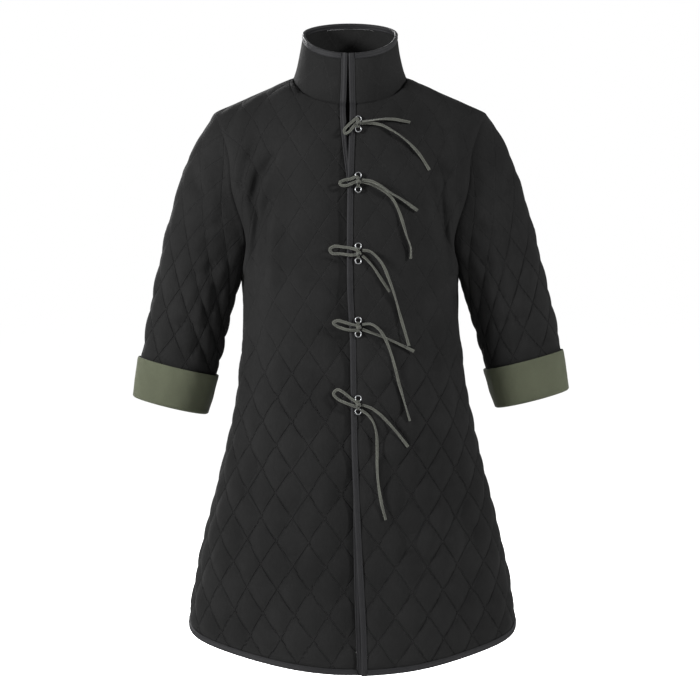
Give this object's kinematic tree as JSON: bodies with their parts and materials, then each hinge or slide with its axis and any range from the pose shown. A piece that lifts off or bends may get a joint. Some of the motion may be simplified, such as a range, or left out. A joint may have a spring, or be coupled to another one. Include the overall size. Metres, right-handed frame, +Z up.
{
  "type": "gambeson",
  "caption": "Knee-length quilted coat with a stand collar, laced front, turned-back elbow cuffs and a flared bound hem, hollow as if worn.",
  "frame": {"origin": "middle of the neck opening, at the height where the neck meets the shoulders", "axes": "+Z up, front towards -Y, +X towards the wearer's left"},
  "size_m": [0.7466, 0.3992, 1.0809],
  "materials": {
    "quilt": "matte diamond-quilted cotton",
    "binding": "matte folded self binding",
    "cuff": "matte plain cotton, olive green",
    "lace": "flat woven cotton lace, olive grey",
    "eyelet": "satin nickel plate"
  },
  "bodies": {
    "root": {"front_left": "quilt", "front_right": "quilt", "back": "quilt", "collar": "quilt", "sleeve_left": "quilt", "sleeve_right": "quilt", "cuff_left": "cuff", "cuff_right": "cuff", "binding_front_left": "binding", "binding_front_right": "binding", "binding_collar": "binding", "binding_hem_left": "binding", "binding_hem_right": "binding", "binding_hem_back": "binding", "eyelet_1_top": "eyelet", "eyelet_1_low": "eyelet", "eyelet_2_top": "eyelet", "eyelet_2_low": "eyelet", "eyelet_3_top": "eyelet", "eyelet_3_low": "eyelet", "eyelet_4_top": "eyelet", "eyelet_4_low": "eyelet", "eyelet_5_top": "eyelet", "eyelet_5_low": "eyelet", "lace_bow_1": "lace", "lace_bow_2": "lace", "lace_bow_3": "lace", "lace_bow_4": "lace", "lace_bow_5": "lace", "lace_end_1_a": "lace", "lace_end_1_b": "lace", "lace_end_2_a": "lace", "lace_end_2_b": "lace", "lace_end_3_a": "lace", "lace_end_3_b": "lace", "lace_end_4_a": "lace", "lace_end_4_b": "lace", "lace_end_5_a": "lace", "lace_end_5_b": "lace"}
  },
  "joints": []
}
